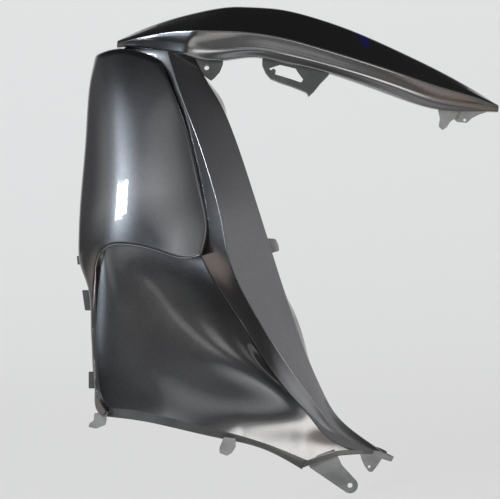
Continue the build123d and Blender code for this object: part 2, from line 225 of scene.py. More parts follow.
# Stage, in metres
FLOOR_GAP = 0.002
FLOOR_HALF_WIDTH = 5
FLOOR_FRONT, FLOOR_MIDDLE, FLOOR_BEND, FLOOR_ROUND, FLOOR_TOP = -0.06, 0.4, 1.3, 0.8, 3.5
SHEET_GREY = (0.78, 0.78, 0.77)
SHEET_GLOW, SHEET_GLOW_GREY = 0.65, 0.93
CAMERA_PLACE = (-0.1385, -2.0, 0.3267)

# Window panes: degrees to the right and up, distance, size, brightness
PANES = [
    ("window_wide", -40.0, 2.3, 2.51, (0.44, 0.36), 50),
    ("window_narrow", -32.0, 2.9, 2.51, (0.20, 0.34), 34),
]
PANE_AIM = (-0.3, -0.08, 0.39)
PANE_COLOUR = (0.82, 0.91, 1.0)

# Room: its brightest level, then pairs of height in degrees and level, at the left, elsewhere and right
ROOM_PEAK = 2.4
LEFT_ROOM = [
    (-90, 0.03), (90, 0.06), (-35, 0.03), (-12, 0.05), (-4, 0.10), (1, 0.85), (4, 1.5), (8, 1.0),
    (12, 0.45), (18, 0.22), (30, 0.10), (45, 0.05),
]
DARK_ROOM = [(-90, 0.03), (90, 0.06), (-12, 0.04), (-2, 0.10), (6, 0.28), (14, 0.38), (24, 0.26), (45, 0.05)]
RIGHT_ROOM = [
    (-90, 0.05), (90, 0.06), (-35, 0.12), (-12, 0.30), (-2, 0.7), (6, 1.3), (14, 1.2), (20, 0.5),
    (32, 0.25), (45, 0.06),
]

# Soft glows in the room: degrees to the right and up, inner and outer radius, level, colour
GLOWS = [
    (17, -30, 3, 13, 7.5, (1.0, 0.99, 0.97)),
    (3, -27, 2, 11, 1.2, (1.0, 0.99, 0.97)),
    (-12, -46, 3, 14, 2.6, (1.0, 0.98, 0.94)),
    (26, -20, 1, 8, 2.5, (1.0, 0.98, 0.94)),
    (-76, -20, 3, 16, 1.3, (1.0, 0.80, 0.74)),
    (38, -38, 4, 26, 0.8, (1.0, 0.72, 0.55)),
    (-3, 6, 4, 16, 0.9, (0.95, 0.98, 1.0)),
    (-58, -67, 4, 20, 1.8, (0.98, 0.99, 1.0)),
    (0, -82, 8, 34, 0.5, (1.0, 0.98, 0.95)),
    (-33, 4, 3, 20, 1.0, (0.78, 0.89, 1.0)),
]


# Curves

def spline(keys, values, places):
    """Natural cubic through the values at the keys, evaluated at the places."""
    k, v = np.asarray(keys, float), np.asarray(values, float)
    n, h = len(k), np.diff(k)
    system, right = np.zeros((n, n)), np.zeros_like(v)
    system[0, 0] = system[-1, -1] = 1
    for i in range(1, n - 1):
        system[i, i - 1 : i + 2] = h[i - 1], 2 * (h[i - 1] + h[i]), h[i]
        right[i] = 6 * ((v[i + 1] - v[i]) / h[i] - (v[i] - v[i - 1]) / h[i - 1])
    bend = np.linalg.solve(system, right)
    at = np.clip(np.asarray(places, float), k[0], k[-1])
    i = np.clip(np.searchsorted(k, at) - 1, 0, n - 2)
    wide = (slice(None),) + (None,) * (v.ndim - 1)
    a, b, step = ((k[i + 1] - at) / h[i])[wide], ((at - k[i]) / h[i])[wide], h[i][wide]
    return a * v[i] + b * v[i + 1] + ((a**3 - a) * bend[i] + (b**3 - b) * bend[i + 1]) * step**2 / 6


def softened(rows, width):
    """Rows smoothed along the first axis, with both ends kept where they are."""
    reach = int(3 * width)
    if reach < 1:
        return rows
    bell = np.exp(-0.5 * (np.arange(-reach, reach + 1) / width) ** 2)
    bell /= bell.sum()
    head = 2 * rows[0] - rows[reach:0:-1]
    tail = 2 * rows[-1] - rows[-2 : -reach - 2 : -1]
    long = np.concatenate([head, rows, tail])
    flat = long.reshape(len(long), -1)
    out = np.stack([np.convolve(flat[:, c], bell, "valid") for c in range(flat.shape[1])], 1)
    return out.reshape(rows.shape)


def rail(line, levels, width=9.0):
    """Points (x, y) of a feature line at the levels, without its small waves."""
    line = sorted(line)
    fine = np.arange(line[0][0], line[-1][0] + 0.5, 1.0)
    table = softened(spline([p[0] for p in line], [p[1:] for p in line], fine), width)
    return np.stack([np.interp(levels, fine, table[:, c]) for c in range(2)], 1)


def smooth_run(points, step):
    """Points along a smooth curve through the given ones, about a step apart."""
    p = np.asarray(points, float)
    along = np.concatenate([[0], np.cumsum(np.linalg.norm(np.diff(p, axis=0), axis=1))])
    places = np.linspace(0, along[-1], max(2, round(along[-1] / step) + 1))
    return spline(along, p, places)


def closed(runs, step=2.0):
    """One closed outline from smooth runs, anticlockwise, without doubled points."""
    p = np.concatenate([smooth_run(run, step)[:-1] for run in runs])
    gap = np.linalg.norm(p - np.roll(p, 1, 0), axis=1)
    p = p[gap > 0.05]
    return p if area(p) > 0 else p[::-1]


def area(p):
    """Signed area of an outline, positive when it runs anticlockwise."""
    q = np.roll(p, -1, 0)
    return 0.5 * float((p[:, 0] * q[:, 1] - q[:, 0] * p[:, 1]).sum())


def distance(points, outline):
    """Distance of each point to the outline."""
    a, b = outline, np.roll(outline, -1, 0)
    d = b - a
    out = []
    for block in np.array_split(points, max(1, len(points) // 2000)):
        w = block[:, None] - a[None]
        t = np.clip((w * d).sum(2) / (d * d).sum(1), 0, 1)
        out.append(np.linalg.norm(w - t[..., None] * d, axis=2).min(1))
    return np.concatenate(out)


def inside(points, outline):
    """Whether each point lies inside the outline."""
    a, b = outline, np.roll(outline, -1, 0)
    x, z = points[:, :1], points[:, 1:]
    crosses = (a[:, 1] > z) != (b[:, 1] > z)
    rise = np.where(b[:, 1] == a[:, 1], 1e-9, b[:, 1] - a[:, 1])
    right = x < (b[:, 0] - a[:, 0]) * (z - a[:, 1]) / rise + a[:, 0]
    return (crosses & right).sum(1) % 2 == 1


def moved_in(outline, wall):
    """The outline moved inwards, without the points that come too near to another side."""
    ahead, behind = np.roll(outline, -1, 0), np.roll(outline, 1, 0)
    along = ahead - behind
    normal = np.stack([-along[:, 1], along[:, 0]], 1) / np.linalg.norm(along, axis=1)[:, None]
    p = outline + normal * wall
    return p[(distance(p, outline) > 0.985 * wall) & inside(p, outline)]


# Meshes

def made(name, verts, faces, material):
    """Object from vertices in millimetres, with its faces turned outwards."""
    mesh = bpy.data.meshes.new(name)
    mesh.from_pydata([Vector(v) * MM for v in verts], [], faces)
    for slot in (paint, bare, shaded_dark_plastic):
        mesh.materials.append(slot)
    work = bmesh.new()
    work.from_mesh(mesh)
    bmesh.ops.recalc_face_normals(work, faces=work.faces)
    for face in work.faces:
        face.material_index = material
    work.to_mesh(mesh)
    work.free()
    obj = bpy.data.objects.new(name, mesh)
    bpy.context.scene.collection.objects.link(obj)
    return obj


def loft(name, rings, material):
    """Closed solid through rings that all have as many points."""
    m, n = rings.shape[:2]
    faces = [
        (r * n + c, r * n + (c + 1) % n, (r + 1) * n + (c + 1) % n, (r + 1) * n + c)
        for r in range(m - 1)
        for c in range(n)
    ]
    faces += [tuple(range(n))[::-1], tuple(range((m - 1) * n, m * n))]
    return made(name, rings.reshape(-1, 3), faces, material)


def filled(outline, rings, grid):
    """Points and triangles that fill an outline, with rows of points along it."""
    parts = [outline] + [moved_in(outline, d) for d in rings]
    low, high = outline.min(0), outline.max(0)
    x, z = np.meshgrid(np.arange(low[0], high[0], grid), np.arange(low[1], high[1], grid))
    net = np.stack([x.ravel(), z.ravel()], 1)
    net = net[inside(net, outline)]
    margin = (rings[-1] if rings else 0) + 0.5 * grid
    parts.append(net[distance(net, outline) > margin])
    edge = [(i, (i + 1) % len(outline)) for i in range(len(outline))]
    points = [Vector(p) for p in np.concatenate(parts)]
    flat, _, faces, *_ = delaunay_2d_cdt(points, edge, [], 1, 1e-4)
    return np.array([tuple(v) for v in flat]), [tuple(f) for f in faces]


def between(name, outline, front, back, material, rings=(), grid=GRID):
    """Closed solid inside an outline, between two depths worked out from x, z and the distance to the rim."""
    flat, faces = filled(outline, rings, grid)
    rim = distance(flat, outline)
    n = len(flat)
    layers = [np.stack([flat[:, 0], f(flat[:, 0], flat[:, 1], rim), flat[:, 1]], 1) for f in (front, back)]
    used = {}
    for face in faces:
        for a, b in zip(face, face[1:] + face[:1]):
            used[(a, b)] = True
    sides = [(a, b, b + n, a + n) for a, b in used if (b, a) not in used]
    rear = [tuple(v + n for v in face[::-1]) for face in faces]
    return made(name, np.concatenate(layers), faces + rear + sides, material)


def block(name, outline, y0, y1, material=PAINT):
    """Straight prism from an outline."""
    n = len(outline)
    verts = [(x, y, z) for y in (y0, y1) for x, z in outline]
    faces = [tuple(range(n)), tuple(range(n, 2 * n))[::-1]]
    faces += [(i, (i + 1) % n, n + (i + 1) % n, n + i) for i in range(n)]
    return made(name, verts, faces, material)


def combined(body, other, operation):
    """The body after a boolean with the other object, which goes."""
    cut = body.modifiers.new("cut", "BOOLEAN")
    cut.operation, cut.object, cut.solver = operation, other, "MANIFOLD"
    view = bpy.context.evaluated_depsgraph_get()
    mesh = bpy.data.meshes.new_from_object(body.evaluated_get(view))
    body.modifiers.clear()
    body.data = mesh
    bpy.data.objects.remove(other)
    return body


# Profiles

def inset(points, wall):
    """The open profile moved into the part by the wall, with mitred corners."""
    p = np.asarray(points, float)
    d = np.diff(p, axis=0)
    n = np.stack([-d[:, 1], d[:, 0]], 1) / np.linalg.norm(d, axis=1)[:, None] * wall
    out = [p[0] + n[0]]
    for i in range(1, len(p) - 1):
        a, b = p[i - 1] + n[i - 1], p[i] + n[i]
        cross = d[i - 1][0] * d[i][1] - d[i - 1][1] * d[i][0]
        if abs(cross) < 1e-6:
            out.append(b)
            continue
        t = ((b - a)[0] * d[i][1] - (b - a)[1] * d[i][0]) / cross
        out.append(a + d[i - 1] * t)
    out.append(p[-1] + n[-1])
    return out


def to_depth(a, b, y):
    """The point where the line from a through b reaches the depth y."""
    t = (y - a[1]) / (b[1] - a[1])
    return np.array([a[0] + (b[0] - a[0]) * t, y])


def rounded(points, rounds, crowns, arc=6, run=5):
    """The open profile with rounded corners and slightly crowned sides, always with as many points."""
    p = [np.asarray(q, float) for q in points]
    out, start = [p[0]], p[0]
    for i in range(1, len(p)):
        side = p[i] - p[i - 1]
        length = np.linalg.norm(side)
        turn = min(rounds[i - 1], 0.42 * length) if i < len(p) - 1 else 0
        end = p[i] - side / length * turn
        out_way = np.array([side[1], -side[0]]) / length
        for k in range(1, run + 1):
            s = k / run
            out.append(start + (end - start) * s + out_way * crowns[i - 1] * 4 * s * (1 - s))
        if i == len(p) - 1:
            break
        ahead = p[i + 1] - p[i]
        reach = np.linalg.norm(ahead)
        after = p[i] + ahead / reach * min(rounds[i - 1], 0.42 * reach)
        for k in range(1, arc + 1):
            s = k / arc
            out.append((1 - s) ** 2 * end + 2 * s * (1 - s) * p[i] + s**2 * after)
        start = after
    return out


def hollow(name, profiles, places, rounds, crowns, closed_under=0.0):
    """Outer and inner solid of a beam from its open profiles. Ends narrower than closed_under stay solid."""
    outer, inner = [], []
    for profile, place in zip(profiles, places):
        outer.append([place(q) for q in rounded(profile, rounds, crowns)])
        if profile[-1][0] - profile[0][0] < closed_under:
            continue
        core = inset(profile, WALL)
        core[0] = to_depth(core[1], core[0], DEEP)
        core[-1] = to_depth(core[-2], core[-1], DEEP)
        inner.append([place(q) for q in core])
    return loft(name, np.array(outer), PAINT), loft(name + "_core", np.array(inner), BARE)


def above_lip(name, shift):
    """Block over the lower lip line, moved up by the shift."""
    lip = [(x, z + shift) for x, z in LIP_LOW]
    far = [(-120, 20), (-400, 20), (-400, 700), (120, 700), (120, 36 + shift), (62, 37 + shift)]
    corners = [lip[-1]] + far[::-1] + [lip[0]]
    return block(name, closed([lip] + [[a, b] for a, b in zip(corners, corners[1:])], 4.0), -150, 150)


def spine():
    """Ridged blade from the neck to the lower tip, cut off along the lower lip."""
    levels = np.arange(SPINE_FOOT, SPINE_TOP + 0.1, 2.5)
    fold, ridge, edge = rail(FOLD, levels, 5.0), rail(RIDGE, levels, 12.0), rail(EDGE, levels, 12.0)
    flare = rail(FLARE, levels, 4.0)
    profiles, places = [], []
    for f, r, e, (out, drop), z in zip(fold, ridge, edge, flare, levels):
        profiles.append([(f[0] - drop / 6, f[1] + drop), f, r, e, (e[0] + out, e[1] + RETURN_DEPTH)])
        places.append(lambda q, z=z: (q[0], q[1], z))
    rounds, crowns = (FOLD_ROUND, SPINE_ROUND, EDGE_ROUND), (0, 0.8, 0.8, 0)
    outer, inner = hollow("spine", profiles, places, rounds, crowns)
    outer = combined(outer, above_lip("lip", 0.0), "INTERSECT")
    return outer, combined(inner, above_lip("lip", WALL), "INTERSECT")


def beam():
    """Tail and arm as one run."""
    lines = [np.asarray(line, float) for line in (BEAM_TOP, BEAM_RIDGE, BEAM_COVE, BEAM_LIP)]
    along = np.concatenate([[0], np.cumsum(np.linalg.norm(np.diff(lines[1], axis=0), axis=1))])
    places = np.linspace(0, along[-1], round(along[-1] / 3.0))
    knee = along[BEAM_KNEE]
    before, after = places[places < knee], places[places >= knee]

    def creased(line):
        """Two smooth runs that meet in a slightly softened crease."""
        first = spline(along[: BEAM_KNEE + 1], line[: BEAM_KNEE + 1], before)
        second = spline(along[BEAM_KNEE:], line[BEAM_KNEE:], after)
        return softened(np.concatenate([first, second]), KNEE_SOFTNESS)

    top, ridge, cove, lip = (creased(line) for line in lines)
    profiles, frames = [], []
    for t, r, c, low in zip(top, ridge, cove, lip):
        way = np.array([low[0] - t[0], low[2] - t[2]])
        way /= np.linalg.norm(way)
        flat = [((q[0] - t[0]) * way[0] + (q[2] - t[2]) * way[1], q[1]) for q in (t, r, c, low)]
        first = (flat[0][0] + 0.5, flat[0][1] + RETURN_DEPTH)
        last = (flat[-1][0] - 0.5, flat[-1][1] + RETURN_DEPTH)
        profiles.append([first] + flat + [last])
        frames.append(lambda q, t=t, way=way: (t[0] + way[0] * q[0], q[1], t[2] + way[1] * q[0]))
    rounds = (BEAM_TOP_ROUND, RIDGE_ROUND, COVE_ROUND, LIP_ROUND)
    return hollow("beam", profiles, frames, rounds, (0, 0.8, 0.6, 0, 0), SOLID_TIP)


# Crowned sheets

def depth_table(row, low, high, x0, x1, width=2.0, step=2.0):
    """Function of x and z that reads a smoothed grid of depths, made from a row of points at each level."""
    z = np.arange(low, high + 1, step)
    x = np.arange(x0, x1 + 1, step)
    table = np.array([spline(points[:, 0], points[:, 1], x) for points in row(z)])
    table = softened(softened(table, width).T, width).T

    def read(px, pz):
        i = np.clip((pz - z[0]) / step, 0, len(z) - 1.001)
        j = np.clip((px - x[0]) / step, 0, len(x) - 1.001)
        i0, j0 = i.astype(int), j.astype(int)
        u, v = i - i0, j - j0
        upper = table[i0 + 1, j0] * (1 - v) + table[i0 + 1, j0 + 1] * v
        return (table[i0, j0] * (1 - v) + table[i0, j0 + 1] * v) * (1 - u) + upper * u

    return read


def stacked(lines, z):
    """Row of points, one on each feature line, at each level."""
    return np.stack([rail(line, z) for line in lines], 1)


def line_distance(x, z, line):
    """Distance of each point to an open run."""
    p = np.asarray(line, float)
    a, d = p[:-1], np.diff(p, axis=0)
    w = np.stack([x, z], 1)[:, None] - a[None]
    t = np.clip((w * d).sum(2) / (d * d).sum(1), 0, 1)
    return np.linalg.norm(w - t[..., None] * d, axis=2).min(1)


def far_back(x, z, rim):
    """Depth well behind the part, where every core ends."""
    return x * 0 + DEEP


def along_strip(z):
    """1 beside the scoop, fading out towards the upper end of the strip."""
    return np.clip((STRIP_TOP - z) / STRIP_FADE, 0, 1)


def cheek():
    """Crowned pillow with a rolled rim, and the strip that runs down from it."""
    lines = [CHEEK_LEFT, CHEEK_BREAK, CHEEK_CROWN, CHEEK_SIDE, CHEEK_RIGHT]
    pillow = depth_table(lambda z: stacked(lines, z), 90, 616, -383, -166)
    floor = bowl()
    strip = smooth_run(STRIP, 4.0)

    def depth(x, z):
        """The pillow, let down softly to the scoop along the strip's inner edge."""
        near = np.clip(1 - line_distance(x, z, strip) / STRIP_ROLL, 0, 1)
        share = near * near * (3 - 2 * near) * along_strip(z)
        return pillow(x, z) + (floor(x, z) - 0.4 - pillow(x, z)) * share * (x > -362)

    outline = closed([OUTLINE_LEFT, CHEEK_CORNER, CHEEK_TOP, CHEEK_REAR, CHEEK_LOW, STRIP, STRIP_END])

    def front(x, z, rim):
        """The depth, rolled back round the rim."""
        radius = CHEEK_RIM + CHEEK_TOP_EXTRA * np.clip((z - CHEEK_TOP_FROM) / CHEEK_TOP_FADE, 0, 1)
        d = np.clip(radius - rim, 0, radius)
        drop = radius - np.sqrt(radius**2 - d**2)
        low = np.clip(1.5 - line_distance(x, z, strip) / CHEEK_RIM, 0, 1) * along_strip(z)
        return depth(x, z) + drop * (1 - 0.85 * low)

    widest = CHEEK_RIM + CHEEK_TOP_EXTRA
    rings = [0.3, 0.9, 1.7, 2.7, CHEEK_RIM, 5.5, widest, widest + 2.5]
    outer = between(
        "cheek", outline, front, lambda x, z, rim: np.maximum(CHEEK_BACK, front(x, z, rim) + 4), PAINT, rings
    )
    left = [p for p in OUTLINE_LEFT if p[1] > 300]
    core = [left, CHEEK_CORNER, CHEEK_TOP, CHEEK_REAR, CHEEK_LOW[:-1], [CHEEK_LOW[-2], left[0]]]
    core = moved_in(closed(core), WALL)
    inner = between(
        "cheek_core", core, lambda x, z, rim: depth(x, z) + WALL, far_back, BARE, grid=CORE_GRID,
    )
    return outer, inner


def scoop_rows(z):
    """Row of points across the scoop at each level."""
    edge, start, floor, valley, top = (
        rail(line, z) for line in (SCOOP_EDGE, SCOOP_START, SCOOP_FLOOR, VALLEY, SCOOP_TOP)
    )
    left = np.stack([np.full(len(z), -375.0), start[:, 1] + 25], 1)
    low = valley + (top - valley) * (0.45, 0.15)
    high = valley + (top - valley) * (0.80, 0.55)
    return np.stack([left, edge, start, floor, valley, low, high, top], 1)


def bowl():
    """Depth of the scoop without its lower turn."""
    return depth_table(scoop_rows, 20, 356, -374, 90, width=2.5)


def skin():
    """Depth of the scoop's outer face, turned back a little towards its lower edge."""
    plain = bowl()
    skirt = smooth_run(SKIN_LOW + LIP_LOW[1:], 6.0)

    def depth(x, z):
        near = np.clip(1 - line_distance(x, z, skirt) / SKIRT_WIDTH, 0, 1)
        near = np.where(z < np.interp(x, skirt[:, 0], skirt[:, 1]), 1, near)
        drop = SKIRT_DROP * np.interp(x, *zip(*SKIRT_SHARES))
        return plain(x, z) + drop * near * near

    return depth


def scoop():
    """Concave field between strip, spine and lower edge."""
    depth = skin()
    left = [p for p in OUTLINE_LEFT if 100 < p[1] < 330]
    runs = [
        left, [left[-1], SCOOP_CORNER], [SCOOP_CORNER, SPINE_MIDDLE[-1]], SPINE_MIDDLE[::-1],
        [SPINE_MIDDLE[0], LIP_LOW[-1]], LIP_LOW[::-1], SKIN_LOW[::-1], [SKIN_LOW[0], left[0]],
    ]
    outline = closed(runs)
    outer = between(
        "scoop", moved_in(outline, 1.0), lambda x, z, rim: depth(x, z),
        lambda x, z, rim: depth(x, z) + SCOOP_BACK, PAINT, [2.0],
    )
    inner = between(
        "scoop_core", moved_in(outline, WALL), lambda x, z, rim: depth(x, z) + WALL,
        far_back, BARE, grid=CORE_GRID,
    )
    return outer, inner


def ledge(name, line, edge, shift):
    """Thin plate a step behind the scoop's skin, from behind a line on it to its own edge."""
    depth = skin()
    upper = [(x, z + 4) for x, z in line]
    outline = closed([upper, [upper[-1], edge[-1]], edge[::-1], [edge[0], upper[0]]])
    return between(
        name, outline, lambda x, z, rim: depth(x, z) + shift + 0.8 * np.clip(1 - rim, 0, 1) ** 2,
        lambda x, z, rim: depth(x, z) + shift + WALL, SHADED_DARK, [0.35, 0.8, 1.3], 3.0,
    )


# Tabs and fixings

def straight(points):
    """Closed outline with straight sides."""
    p = np.asarray(points, float)
    return p if area(p) > 0 else p[::-1]


def circle(x, z, radius, count=48):
    """Round outline."""
    turn = np.linspace(0, 2 * math.pi, count, endpoint=False)
    return np.stack([x + radius * np.cos(turn), z + radius * np.sin(turn)], 1)


def softened_corners(points, turn=1.5):
    """Outline with each corner cut to a small round."""
    p, out = straight(points), []
    for i in range(len(p)):
        before, ahead = p[i - 1] - p[i], p[(i + 1) % len(p)] - p[i]
        a = p[i] + before / np.linalg.norm(before) * min(turn, 0.4 * np.linalg.norm(before))
        b = p[i] + ahead / np.linalg.norm(ahead) * min(turn, 0.4 * np.linalg.norm(ahead))
        out += [(1 - t) ** 2 * a + 2 * t * (1 - t) * p[i] + t**2 * b for t in (0, 0.25, 0.5, 0.75, 1)]
    return np.array(out)


def plate(name, points, y, thickness=WALL, turn=1.5, material=BARE):
    """Flat plate with slightly rounded corners."""
    return block(name, softened_corners(points, turn), y, y + thickness, material)


def moved_line(line, dx, dz):
    """The line moved aside by dx and dz."""
    return [(x + dx, z + dz) for x, z in line]


def joined(name, parts, holes=(), bevel=0.5):
    """One piece made of several solids, with round holes (x, z, radius) through it."""
    whole = parts[0]
    for part in parts[1:]:
        whole = combined(whole, part, "UNION")
    for x, z, radius in holes:
        whole = combined(whole, block("hole", circle(x, z, radius), -150, 150, BARE), "DIFFERENCE")
    whole.name = name
    whole.data.shade_smooth()
    edge = whole.modifiers.new("rounding", "BEVEL")
    edge.width, edge.segments, edge.limit_method, edge.angle_limit = bevel * MM, 2, "ANGLE", math.radians(40)
    edge.harden_normals = True
    return whole


def lower_tab():
    """Tapered ear with the main screw hole, its stiffening edge and the wall it hangs from."""
    root = LIP_LOW[:3]
    ear = [(-60, 37), (-56, 25), (-6.3, -9), (9.2, 6), (-11, 28), (-20, 47), (-40, 45)]
    parts = [
        plate("ear", ear, 0, TAB_WALL),
        block("end", circle(0, 0, TAB_END_RADIUS), 0, TAB_WALL, BARE),
        plate("edge", [(-56, 25), (-6.3, -9), (-4.9, -6.9), (-54.6, 27.1)], 0, 7, 0.5),
        plate("wall", root + moved_line(root, 0.5, TAB_WALL)[::-1], -14, 14 + TAB_WALL, 0.5),
    ]
    return joined("lower_tab", parts, [(0, 0, SCREW_RADIUS)])


def tip_tabs():
    """Tab with a pin hole and a tongue at the lower tip."""
    hanging = [(13, 46), (16, 36), (20, 27), (26, 19), (31, 19), (38, 28), (46, 40), (44, 50)]
    tongue = [(30, 54), (61, 40), (57, 33), (44, 37)]
    parts = [plate("hanging", hanging, -1), plate("tongue", tongue, -1)]
    return joined("tip_tabs", parts, [(26.5, 26, PIN_RADIUS)])


def lower_hooks():
    """Hook tabs under the lower edge."""
    corner = [
        (-352, 102), (-353, 92), (-359, 88), (-360, 83), (-349, 81), (-337, 86), (-335, 94), (-338, 103),
    ]
    middle = [(-180, 50), (-180, 57), (-174, 72), (-158, 70), (-158, 58), (-163, 50), (-170, 46)]
    return [
        joined("corner_hook", [plate("a", corner, -19, HOOK_WALL)]),
        joined("middle_hook", [plate("a", middle, -36, HOOK_WALL)]),
    ]


def front_tabs():
    """Two tabs and a nub on the front edge."""
    upper = [(-369, 271), (-352, 271), (-352, 243), (-365, 243)]
    lower = [(-360, 159), (-350, 159), (-350, 136), (-360, 136)]
    knob = [(-376, 318), (-366, 318), (-366, 306), (-375, 306)]
    return [
        joined("front_tab_upper", [plate("a", upper, -18, TAB_WALL, material=SHADED_DARK)]),
        joined("front_tab_lower", [plate("a", lower, -18, TAB_WALL, material=SHADED_DARK)]),
        joined("front_knob", [plate("a", knob, -20, TAB_WALL, material=SHADED_DARK)]),
    ]


def corner_ear():
    """Ear with a screw boss in the inner corner between arm and spine."""
    x, z = EAR_HOLE
    ear = [
        (-214, 590), (-174, 587), (-175, 576), (-179, 566),
        (-186, 558), (-191, 554), (-198, 559), (-207, 568),
    ]
    boss = block("boss", circle(x, z, EAR_BOSS_RADIUS), EAR_FRONT, EAR_FRONT + EAR_BOSS_LENGTH, SHADED_DARK)
    return joined("corner_ear", [plate("ear", ear, -54, material=SHADED_DARK), boss], [(x, z, SCREW_RADIUS)])


def arm_bracket():
    """Open pocket under the arm: front web with a slanting window, shelf, side and stud."""
    low = [
        (-122, 576), (-117, 565), (-111, 558), (-98, 552.5),
        (-84, 548), (-71, 543), (-62, 539), (-58.5, 533.5),
    ]
    rear = [(-53, 539), (-43.5, 551), (-35.5, 559), (-31, 564)]
    around = [(-122, 584)] + low + rear + [(-58, 571.5), (-98, 580.5)]
    web = plate("web", around, BRACKET_FRONT, material=SHADED_DARK)
    window = [
        (-113, 571), (-104, 563), (-84, 557), (-69.5, 552), (-66.5, 556), (-74, 566), (-77, 571), (-98, 576),
    ]
    web = combined(web, block("window", softened_corners(window), -60, -30, SHADED_DARK), "DIFFERENCE")
    parts = [
        web,
        plate("shelf", low + moved_line(low, 1.2, 2.4)[::-1], BRACKET_FRONT, BRACKET_DEPTH, 0.4, SHADED_DARK),
        plate("side", rear + moved_line(rear, -2, 1.6)[::-1], BRACKET_FRONT, BRACKET_DEPTH, 0.4, SHADED_DARK),
        block("stud", circle(-107, 567, STUD_RADIUS), -54, -46, SHADED_DARK),
    ]
    return joined("arm_bracket", parts, bevel=0.4)


def arm_tip_tabs():
    """Two tabs under the arm's tip, the rear one with a pin hole."""
    first = [
        (119, 524), (123, 508), (121.5, 496), (126.5, 491),
        (132.5, 495), (137, 502.5), (145, 508), (150, 522),
    ]
    second = [
        (148, 521), (141, 510), (147, 503), (161, 501.5), (168, 508), (178, 513), (190, 517), (185, 521),
    ]
    return [
        joined("arm_tip_tab_front", [plate("a", first, -12)]),
        joined("arm_tip_tab_rear", [plate("a", second, -6)], [(158, 505.5, PIN_RADIUS)]),
    ]


def rear_clip():
    """Small clip tab on the rear edge of the spine."""
    clip = [(-116, 342), (-104, 341), (-100, 333), (-99, 325), (-109, 322)]
    return joined("rear_clip", [plate("a", clip, -50, HOOK_WALL)])


# Materials

def finish(name, colour, metallic, roughness, coat=0.0, coat_roughness=0.05):
    """New material with its colour, metal, roughness and clear coat."""
    made_of = bpy.data.materials.new(name)
    made_of.use_nodes = True
    shader = made_of.node_tree.nodes["Principled BSDF"]
    shader.inputs["Base Color"].default_value = (*colour, 1)
    shader.inputs["Metallic"].default_value = metallic
    shader.inputs["Roughness"].default_value = roughness
    shader.inputs["Coat Weight"].default_value = coat
    shader.inputs["Coat Roughness"].default_value = coat_roughness
    shader.inputs["Coat IOR"].default_value = 1.65
    return made_of, made_of.node_tree, shader


def linked(tree, kind, inputs=(), **settings):
    """A node with its settings made, and its inputs linked or set."""
    node = tree.nodes.new(kind)
    for key, value in settings.items():
        setattr(node, key, value)
    for key, value in inputs:
        if isinstance(value, bpy.types.NodeSocket):
            tree.links.new(value, node.inputs[key])
        else:
            node.inputs[key].default_value = value
    return node


def spanned(tree, value, low, high, start=0.0, end=1.0):
    """The value carried over from the range start to end to the range low to high."""
    inputs = [("Value", value), ("From Min", start), ("From Max", end), ("To Min", low), ("To Max", high)]
    return linked(tree, "ShaderNodeMapRange", inputs).outputs[0]


def mixed(tree, share, first, second, blend="MIX"):
    """One colour mixed with another."""
    inputs = [(0, share), (6, first), (7, second)]
    return linked(tree, "ShaderNodeMix", inputs, data_type="RGBA", blend_type=blend).outputs[2]


def bumped(tree, height, strength, distance):
    """Normal of a surface with a relief."""
    inputs = [("Strength", strength), ("Distance", distance), ("Height", height)]
    return linked(tree, "ShaderNodeBump", inputs).outputs[0]


def metallic_paint():
    """Dark grey metallic: flakes under a clear coat with faint orange peel and a little dust."""
    made_of, tree, shader = finish("metallic_paint", PAINT_GREY, 1.0, 0.32, 1.0, 0.03)
    place = linked(tree, "ShaderNodeTexCoord").outputs["Object"]
    flake = linked(tree, "ShaderNodeTexVoronoi", [("Vector", place), ("Scale", 1400.0)])
    spread = spanned(tree, flake.outputs["Color"], 0.75, 1.25)
    cloud = linked(tree, "ShaderNodeTexNoise", [("Vector", place), ("Scale", 9.0), ("Detail", 3.0)])
    patch = spanned(tree, cloud.outputs["Fac"], 0.93, 1.07)
    level = linked(tree, "ShaderNodeMath", [(0, spread), (1, patch)], operation="MULTIPLY")
    colour = mixed(tree, 1.0, (*PAINT_GREY, 1.0), level.outputs[0], "MULTIPLY")
    # A short blue smear on the top of the arm
    away = linked(tree, "ShaderNodeVectorMath", [(0, place), (1, SMEAR_PLACE)], operation="SUBTRACT")
    turned = linked(
        tree, "ShaderNodeVectorRotate", [("Vector", away.outputs[0]), ("Angle", SMEAR_TURN)],
        rotation_type="Y_AXIS",
    )
    size = linked(
        tree, "ShaderNodeVectorMath", [(0, turned.outputs[0]), (1, SMEAR_SCALE)], operation="MULTIPLY"
    )
    long = linked(tree, "ShaderNodeVectorMath", [(0, size.outputs[0])], operation="LENGTH")
    patchy = linked(tree, "ShaderNodeTexNoise", [("Vector", place), ("Scale", 180.0), ("Detail", 2.0)])
    reach = linked(
        tree, "ShaderNodeMath", [(0, long.outputs["Value"]), (1, patchy.outputs["Fac"])], operation="ADD"
    )
    smear = spanned(tree, reach.outputs[0], 0.0, 0.8, 1.5, 0.9)
    inked = mixed(tree, smear, colour, (*SMEAR_BLUE, 1.0))
    tree.links.new(inked, shader.inputs["Base Color"])
    dust = linked(tree, "ShaderNodeTexNoise", [("Vector", place), ("Scale", 55.0), ("Detail", 4.0)])
    tree.links.new(spanned(tree, dust.outputs["Fac"], 0.28, 0.36), shader.inputs["Roughness"])
    peel = linked(tree, "ShaderNodeTexNoise", [("Vector", place), ("Scale", 260.0), ("Detail", 1.0)])
    tree.links.new(bumped(tree, peel.outputs["Fac"], 0.02, 0.001), shader.inputs["Coat Normal"])
    tree.links.new(bumped(tree, flake.outputs["Distance"], 0.12, 0.0003), shader.inputs["Normal"])
    return made_of


